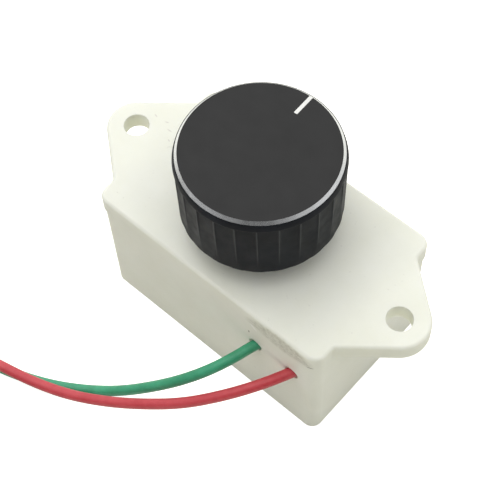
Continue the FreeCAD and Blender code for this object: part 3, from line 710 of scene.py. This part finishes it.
def strand_tip(name, points, steps=60, count=64):
    """Tinned end: twisted strands under a skin of solder, rounded at the end."""
    end = Vector(points[-1])
    along = (end - Vector(points[-2])).normalized()
    side = along.cross(Vector((0, 0, 1))).normalized()
    up = side.cross(along)
    loops = []
    for i in range(steps + 1):
        s = i / steps
        into_round = max(0.0, (s * tip_length - (tip_length - tip_round)) / tip_round)
        dome = min(1.0, math.sqrt(max(0.0, 1 - into_round ** 2)) + tip_blunt)
        loop = []
        for k in range(count):
            a = 2 * math.pi * k / count
            lobe = abs(math.cos(strand_count / 2 * (a - s * strand_twist)))
            r = (strand_core_radius + strand_swell * lobe) * dome
            loop.append(end + along * (s * tip_length) + (side * math.cos(a) + up * math.sin(a)) * r)
        loops.append(loop)
    return add_mesh(name, solid_of(loft, loops), ("tinned_metal",), 60.0)


def make_lead(colour, points, level):
    route = points + turn_points(level)
    lead = lead_curve(colour + "_lead_cord", route, materials[colour + "_insulation"])
    settle(lead, "housing", colour + "_insulation", colour + "_lead", colour + "_lead_coil")
    tip = strand_tip(colour + "_strands", route)
    settle(tip, "housing", "tinned_metal", colour + "_lead_tip")


make_lead("green", green_route, 1.15)
make_lead("red", red_route, 3.5)


# Housing

def lead_hole(exit_x):
    """Cutter of a hole through the long wall, slanted as the lead that passes it."""
    lean = math.radians(exit_angle)
    slant = Matrix(((1 / math.cos(lean), math.tan(lean), 0, 0), (0, 1, 0, 0), (0, 0, 1, 0), (0, 0, 0, 1)))
    upright = Matrix.Rotation(math.radians(-90), 4, "X")
    cutter = solid_of(flared_bore, lead_radius + lead_hole_clearance, 0.0, wall, lead_hole_lip)
    place = Matrix.Translation((exit_x, -box_width / 2, box_height - lead_drop)) @ slant @ upright
    bmesh.ops.transform(cutter, matrix=place, verts=cutter.verts)
    return cutter


def post_cylinders(radius, low, high, count):
    """One upright cylinder at each of the four board posts."""
    bm = bmesh.new()
    for x in (post_setback - inside_x, inside_x - post_setback):
        for y in (post_setback - inside_y, inside_y - post_setback):
            loft(bm, [round_loop(radius, low, count, x, y), round_loop(radius, high, count, x, y)])
    return bm


def snap_recesses():
    bm = bmesh.new()
    top = box_height - hook_length + barb_height + recess_clearance
    height = barb_height + 2 * recess_clearance
    half_width = hook_width / 2 + recess_clearance
    inner = inside_x - cut_overrun
    outer = skirt_x + barb_reach + recess_clearance
    for left, right in ((-outer, -inner), (inner, outer)):
        for y in (-hook_offset, hook_offset):
            box_in(bm, (left, y - half_width, top - height), (right, y + half_width, top))
    return bm


def housing():
    outline = rounded_rectangle(box_length / 2, box_width / 2, box_corner_radius, 12)
    loops = rounded_stack(outline, 0.0, box_height, box_base_round, box_top_round)
    obj = add_mesh("housing_shell", solid_of(loft, loops), ("white_plastic",), 0)
    cavity = rounded_rectangle(inside_x, inside_y, cavity_corner_radius, 4)
    combine(obj, straight_block(cavity, floor_thickness, box_height + cut_overrun), "DIFFERENCE")
    for exit_x in (green_exit_x, red_exit_x):
        combine(obj, lead_hole(exit_x), "DIFFERENCE")
    post_top = floor_thickness + post_height
    combine(obj, post_cylinders(post_radius, floor_thickness - merge_depth, post_top, 32), "UNION")
    pilot_radius = board_screw_radius + thread_clearance
    combine(obj, post_cylinders(pilot_radius, floor_thickness, post_top + cut_overrun, 24), "DIFFERENCE")
    combine(obj, snap_recesses(), "DIFFERENCE")
    shade(obj)
    settle(obj, "housing", "white_plastic", "housing_box")


def plate_outline():
    """Face plate with both ears: points with outward normals, anticlockwise."""
    root_y = plate_y - ear_root_setback
    to_root = Vector((plate_x - ear_x, root_y))
    lean = math.degrees(math.atan2(to_root.y, to_root.x) - math.acos(ear_tip_radius / to_root.length))
    normal = Vector((math.cos(math.radians(lean)), math.sin(math.radians(lean))))
    shift = ear_root_fillet * (1 - normal.x) / normal.y
    upper = (plate_x + ear_root_fillet, root_y + shift)
    lower = (upper[0], -upper[1])
    corner_x = plate_x - plate_corner_radius
    corner_y = plate_y - plate_corner_radius
    side = arc((corner_x, -corner_y), plate_corner_radius, -90, 0, 12)
    side += arc(lower, ear_root_fillet, 180, 180 - lean, 8)
    side += arc((ear_x, 0), ear_tip_radius, -lean, lean, 40)
    side += arc(upper, ear_root_fillet, 180 + lean, 180, 8)
    side += arc((corner_x, corner_y), plate_corner_radius, 0, 90, 12)
    turned = [((-p[0], -p[1]), (-n[0], -n[1])) for p, n in side]
    return side + turned


def hook_in(bm, side, y):
    low = box_height - hook_length
    high = box_height - skirt_depth
    profile = [(skirt_x, high), (skirt_x, low + barb_height), (skirt_x + barb_reach, low + barb_height),
               (skirt_x + barb_reach, low + barb_height / 2), (skirt_x, low),
               (skirt_x - skirt_thickness, low), (skirt_x - skirt_thickness, high)]
    ends = (hook_width / 2, -hook_width / 2)
    loft(bm, [[(side * px, y + side * dy, pz) for px, pz in profile] for dy in ends])


def face_plate():
    loops = rounded_stack(plate_outline(), plate_under, plate_top, plate_under_round, plate_top_round, 10)
    obj = add_mesh("face_plate_lid", solid_of(loft, loops), ("white_plastic",), 0)
    seat = (box_length / 2 + rebate_clearance, plate_y + cut_overrun)
    combine(obj, solid_of(box_in, (-seat[0], -seat[1], box_height - cut_overrun),
                          (seat[0], seat[1], box_height)), "DIFFERENCE")
    skirt_under = box_height - skirt_depth
    skirt = rounded_rectangle(skirt_x, skirt_y, skirt_thickness, 6)
    combine(obj, straight_block(skirt, skirt_under, box_height + merge_depth), "UNION")
    core = rounded_rectangle(skirt_x - skirt_thickness, skirt_y - skirt_thickness, skirt_thickness, 6)
    combine(obj, straight_block(core, skirt_under - cut_overrun, web_under), "DIFFERENCE")
    for x in (-ear_x, ear_x):
        cutter = solid_of(flared_bore, ear_hole_radius, plate_under, plate_top, ear_hole_lip)
        bmesh.ops.translate(cutter, vec=(x, 0, 0), verts=cutter.verts)
        combine(obj, cutter, "DIFFERENCE")
    combine(obj, solid_of(flared_bore, bushing_radius + bushing_hole_clearance, web_under, plate_top,
                          bushing_hole_lip), "DIFFERENCE")
    slot_x = locating_tab_thickness / 2 + tab_clearance
    slot_y = locating_tab_width / 2 + tab_clearance
    slot_top = web_under + locating_tab_height + tab_clearance
    combine(obj, solid_of(box_in, (locating_tab_x - slot_x, -slot_y, web_under - cut_overrun),
                          (locating_tab_x + slot_x, slot_y, slot_top)), "DIFFERENCE")
    hooks = bmesh.new()
    for side in (-1, 1):
        for y in (-hook_offset, hook_offset):
            hook_in(hooks, side, y)
    combine(obj, hooks, "UNION")
    shade(obj)
    settle(obj, "housing", "white_plastic", "face_plate")


housing()
face_plate()


# Potentiometer's fixings above the face plate

def threaded_bushing(count=96, steps=112):
    bore_radius = shaft_radius + shaft_clearance
    plate_z = web_under - pot_plate_thickness
    loops = [round_loop(bore_radius, plate_z, count), round_loop(pot_radius, plate_z, count),
             round_loop(pot_radius, web_under, count)]
    for i in range(steps + 1):
        z = web_under + bushing_length * i / steps
        chamfer = max(0.0, z - (bushing_top - bushing_chamfer))
        loop = []
        for k in range(count):
            turn = k / count
            saw = abs(((z / thread_pitch - turn) % 1.0) - 0.5) * 2
            depth = thread_depth * (1 - saw) * min(1.0, (z - web_under) / thread_run_in)
            radius = bushing_radius - max(depth, chamfer)
            loop.append((radius * math.cos(2 * math.pi * turn), radius * math.sin(2 * math.pi * turn), z))
        loops.append(loop)
    loops.append(round_loop(bore_radius, bushing_top, count))
    bm = solid_of(loft_closed, loops)
    half_x = locating_tab_thickness / 2
    half_y = locating_tab_width / 2
    box_in(bm, (locating_tab_x - half_x, -half_y, web_under - shell_overlap),
           (locating_tab_x + half_x, half_y, web_under + locating_tab_height))
    obj = add_mesh("threaded_bushing", bm, ("zinc",), 40.0)
    settle(obj, "housing", "zinc", "pot_bushing")


def hex_nut(count=144, steps=6):
    """Nut whose corners are eased below and turned to a cone above."""
    low = plate_top + washer_thickness
    high = low + nut_height
    flat = nut_across_flats / 2
    corner = flat / math.cos(math.radians(30))
    bore = bushing_radius + thread_clearance
    step_height, step_reach = nut_foot_step
    limits = [(low, flat), (low + step_height, flat + step_reach), (low + nut_foot_height, corner)]
    for i in range(steps + 1):
        share = i / steps
        limits.append((high - nut_chamfer_height * (1 - share),
                       corner - (corner - flat) * share ** nut_chamfer_curve))
    loops = [round_loop(bore, low, count)]
    for z, limit in limits:
        loop = []
        for k in range(count):
            a = 2 * math.pi * k / count
            fold = (a + math.radians(30)) % math.radians(60) - math.radians(30)
            radius = min(flat / math.cos(math.radians(30) - abs(fold)), limit)
            loop.append((radius * math.cos(a), radius * math.sin(a), z))
        loops.append(loop)
    loops += [round_loop(bore + nut_bore_mouth, high, count), round_loop(bore, high - nut_countersink, count)]
    obj = add_mesh("hex_nut", solid_of(loft_closed, loops), ("zinc",), 25.0)
    settle(obj, "housing", "zinc", "pot_nut")


threaded_bushing()
hex_nut()


# Knob

def knob_angles():
    """Angles round the knob, packed closely about each ridge."""
    found = []
    for flute in range(flute_count):
        for i in range(flute_samples):
            share = flute + 0.5 + 0.5 * math.sin(math.pi * (i / flute_samples - 0.5))
            found.append(ridge_angle + share * 360 / flute_count)
    return found


def smooth_min(a, b, width):
    h = max(0.0, min(1.0, 0.5 + 0.5 * (b - a) / width))
    return b + (a - b) * h - width * h * (1 - h)


def fluted_radius(degrees, z):
    """Radius of the skirt: tapered, with a hollow flute between thin ridges."""
    share = (z - knob_bottom) / (band_under - knob_bottom)
    land = knob_foot_radius + (knob_ridge_radius - knob_foot_radius) * share
    axis = land - (flute_foot_depth + (flute_top_depth - flute_foot_depth) * share) + flute_radius
    step = 360 / flute_count
    off = math.radians(((degrees - ridge_angle) % step) - step / 2)
    across = axis * math.sin(off)
    flute = axis * math.cos(off) - math.sqrt(flute_radius ** 2 - across ** 2)
    from_ridge = land * math.radians(step / 2 - abs(math.degrees(off)))
    flute += ridge_crown * max(0.0, ridge_half_width - from_ridge)
    below = max(0.0, knob_bottom + knob_foot_round - z)
    foot = knob_foot_round - math.sqrt(max(0.0, knob_foot_round ** 2 - below ** 2))
    return smooth_min(land, flute, flute_edge_blend) - foot


def ring_of(radius_at, z, angles):
    return [(radius_at(a) * math.cos(math.radians(a)), radius_at(a) * math.sin(math.radians(a)), z)
            for a in angles]


def d_bore(degrees):
    """Round bore with the flat that fits the shaft."""
    rise = math.sin(math.radians(degrees))
    radius = shaft_radius + bore_clearance
    return min(radius, (shaft_flat + bore_clearance) / rise) if rise > 0 else radius


def knob_body(rows=16, foot_rows=12):
    angles = knob_angles()

    def plain(radius, z):
        return ring_of(lambda a: radius, z, angles)

    loops = [plain(radius, cap_under) for radius in seat_rows + (cap_radius + cap_clearance,)]
    loops += [plain(knob_band_radius - inward, knob_top - depth) for inward, depth in rim_profile]
    foot_top = knob_bottom + knob_foot_round
    flute_top = band_under - 0.1
    heights = [band_under] + [foot_top + (flute_top - foot_top) * (1 - i / rows) for i in range(rows + 1)]
    heights += [foot_top - knob_foot_round * math.sin(math.pi / 2 * i / foot_rows)
                for i in range(1, foot_rows + 1)]
    for z in heights:
        loops.append(ring_of(lambda a, z=z: fluted_radius(a, z), z, angles))
    inside = knob_foot_radius - knob_skirt_wall
    hub_bottom = knob_bottom + hub_lift
    loops += [plain(inside + outward, knob_bottom + rise) for outward, rise in foot_lip_profile]
    loops += [plain(inside, (knob_bottom + roof_under) / 2),
              plain(inside, roof_under - inside_round), plain(inside - inside_round, roof_under),
              plain(hub_radius + hub_root_round, roof_under), plain(hub_radius, roof_under - hub_root_round),
              plain(hub_radius, hub_bottom + inside_round), plain(hub_radius - inside_round, hub_bottom),
              ring_of(lambda a: d_bore(a) + bore_mouth, hub_bottom, angles),
              ring_of(d_bore, hub_bottom + bore_mouth, angles),
              ring_of(d_bore, shaft_top + bore_spare, angles)]
    bm = solid_of(loft, loops)
    for i in range(rib_count):
        rib = solid_of(box_in, (hub_radius - shell_overlap, -rib_thickness / 2, knob_bottom + rib_lift),
                       (inside + shell_overlap, rib_thickness / 2, roof_under + rib_roof_overlap))
        turn_about_axis(rib, i * 360 / rib_count)
        rib_mesh = bpy.data.meshes.new("rib")
        rib.to_mesh(rib_mesh)
        rib.free()
        bm.from_mesh(rib_mesh)
        bpy.data.meshes.remove(rib_mesh)
    obj = add_mesh("fluted_knob", bm, ("black_plastic",), 38.0)
    settle(obj, "knob", "black_plastic", "knob_body")


def knob_cap(count=360):
    """Disc with a black face and a bright cut bevel, which the pointer's groove crosses."""
    loops = [round_loop(cap_radius - inward, cap_top - depth, count) for inward, depth in cap_profile]
    obj = add_mesh("knob_disc", solid_of(loft, loops), ("black_aluminium", "cut_aluminium"), 0)
    groove = solid_of(box_in, (-pointer_width / 2, pointer_start, cap_top - pointer_depth),
                      (pointer_width / 2, cap_radius + cut_overrun, cap_top + cut_overrun))
    turn_about_axis(groove, pointer_turn)
    combine(obj, groove, "DIFFERENCE")
    for face in obj.data.polygons:
        outer = math.hypot(face.center.x, face.center.y) > (cap_radius - cap_bevel) * MM
        face.material_index = 1 if outer and -0.5 < face.normal.z < 0.99 else 0
    shade(obj, 20.0)
    settle(obj, "knob", "black_aluminium", "knob_cap")


def pointer(columns=12, rows=60):
    """White filling of the groove, sagging at its edges, following the bevel at its end."""
    bm = bmesh.new()
    half_width = pointer_width / 2 - pointer_clearance
    top = []
    for j in range(rows + 1):
        y = pointer_start + (pointer_end - pointer_start) * j / rows
        line = []
        for i in range(columns + 1):
            across = 2 * i / columns - 1
            x = half_width * across
            past_face = max(0.0, math.hypot(x, y) - pointer_bevel_radius)
            z = cap_top - past_face * pointer_bevel_slope - pointer_crown * abs(across) ** 3
            line.append(bm.verts.new((x, y, z)))
        top.append(line)
    for low, high in zip(top, top[1:]):
        for i in range(columns):
            bm.faces.new((low[i], low[i + 1], high[i + 1], high[i]))
    rim = bmesh.ops.extrude_face_region(bm, geom=list(bm.faces))
    floor_z = cap_top - pointer_depth + pointer_clearance
    for vert in [v for v in rim["geom"] if isinstance(v, bmesh.types.BMVert)]:
        vert.co.z = min(floor_z, vert.co.z - pointer_least_depth)
    turn_about_axis(bm, pointer_turn)
    obj = add_mesh("pointer_fill", bm, ("white_paint",), 40.0)
    settle(obj, "knob", "white_paint", "pointer_line")


knob_body()
knob_cap()
pointer()


# Finish of the CAD nodes that stay as they are

finishes = {
    "pot_washer": "zinc",
    "pot_shaft": "steel",
    "shaft_clip": "spring_steel",
    "pot_wafer": "phenolic",
    "pot_track": "carbon",
    "pot_terminals": "tinned_metal",
    "pot_can": "zinc",
    "pot_rotor": "dark_phenolic",
    "pot_wiper": "spring_steel",
    "circuit_board": "board_laminate",
    "board_screws": "zinc",
    "triac": "black_epoxy",
    "heat_sink": "plain_aluminium",
    "heat_sink_screw": "zinc",
    "diac": "diode_glass",
    "fuse": "ceramic",
    "resistors": "resistor_lacquer",
    "timing_capacitor": "capacitor_case",
    "snubber_capacitor": "capacitor_case",
    "choke_core": "ferrite",
    "choke_winding": "enamelled_copper",
    "jumper_wires": "wire_white",
    "green_lead_tail": "green_insulation",
    "red_lead_tail": "red_insulation",
    "solder_joints": "tinned_metal",
}
for node, finish in finishes.items():
    for material_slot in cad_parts[node].material_slots:
        material_slot.material = materials[finish]


# Floor and light

def mirrored(n, path, share):
    """The share of white that gloss and glass show."""
    seen = n.maths("MAXIMUM", path["Is Glossy Ray"], path["Is Transmission Ray"])
    return n.maths("MULTIPLY", seen, share)


def make_floor():
    """Pale floor that keeps the shadow, with a white glow only for the camera and mirrors."""
    bm = bmesh.new()
    bmesh.ops.create_circle(bm, cap_ends=True, radius=floor_radius, segments=96)
    bmesh.ops.translate(bm, vec=(0, 0, -floor_drop), verts=bm.verts)
    material = bpy.data.materials.new("floor")
    material.use_nodes = True
    n = Nodes(material.node_tree)
    shader = n.tree.nodes["Principled BSDF"]
    shader.inputs["Base Color"].default_value = (0.75, 0.74, 0.665, 1.0)
    shader.inputs["Roughness"].default_value = 0.9
    shader.inputs["Specular IOR Level"].default_value = 0.0
    path = n.add("ShaderNodeLightPath").outputs
    glow = n.add("ShaderNodeEmission")
    glow.inputs["Color"].default_value = (1.0, 1.0, 1.0, 1.0)
    strength = n.maths("MULTIPLY_ADD", path["Is Camera Ray"], floor_glow, mirrored(n, path, floor_mirrored))
    n.join(strength, glow.inputs["Strength"])
    both = n.add("ShaderNodeAddShader")
    n.join(shader.outputs[0], both.inputs[0])
    n.join(glow.outputs[0], both.inputs[1])
    n.join(both.outputs[0], n.tree.nodes["Material Output"].inputs["Surface"])
    materials["floor"] = material
    add_mesh("floor", bm, ("floor",), 0)


def make_world():
    """Pale room lit by wide soft lamps, plain white where the camera looks at it."""
    world = bpy.data.worlds.new("studio")
    world.use_nodes = True
    scene.world = world
    n = Nodes(world.node_tree)
    coords = n.add("ShaderNodeTexCoord").outputs["Generated"]
    path = n.add("ShaderNodeLightPath").outputs
    total = mirrored(n, path, room_mirrored)
    for azimuth, elevation, strength in lights:
        a = math.radians(azimuth)
        e = math.radians(elevation)
        toward = n.add("ShaderNodeVectorMath", operation="DOT_PRODUCT")
        toward.inputs[1].default_value = (math.cos(e) * math.cos(a), math.cos(e) * math.sin(a), math.sin(e))
        n.join(coords, toward.inputs[0])
        lobe = n.maths("POWER", n.maths("MAXIMUM", toward.outputs["Value"], 0.0), light_focus)
        total = n.maths("MULTIPLY_ADD", lobe, strength, total)
    seen = n.add("ShaderNodeMix", data_type="FLOAT")
    n.join(path["Is Camera Ray"], seen.inputs["Factor"])
    n.join(total, seen.inputs["A"])
    seen.inputs["B"].default_value = 1.0
    background = n.tree.nodes["Background"]
    background.inputs["Color"].default_value = (1.0, 1.0, 1.0, 1.0)
    n.join(seen.outputs["Result"], background.inputs["Strength"])


make_floor()
make_world()
scene.view_settings.view_transform = "Standard"
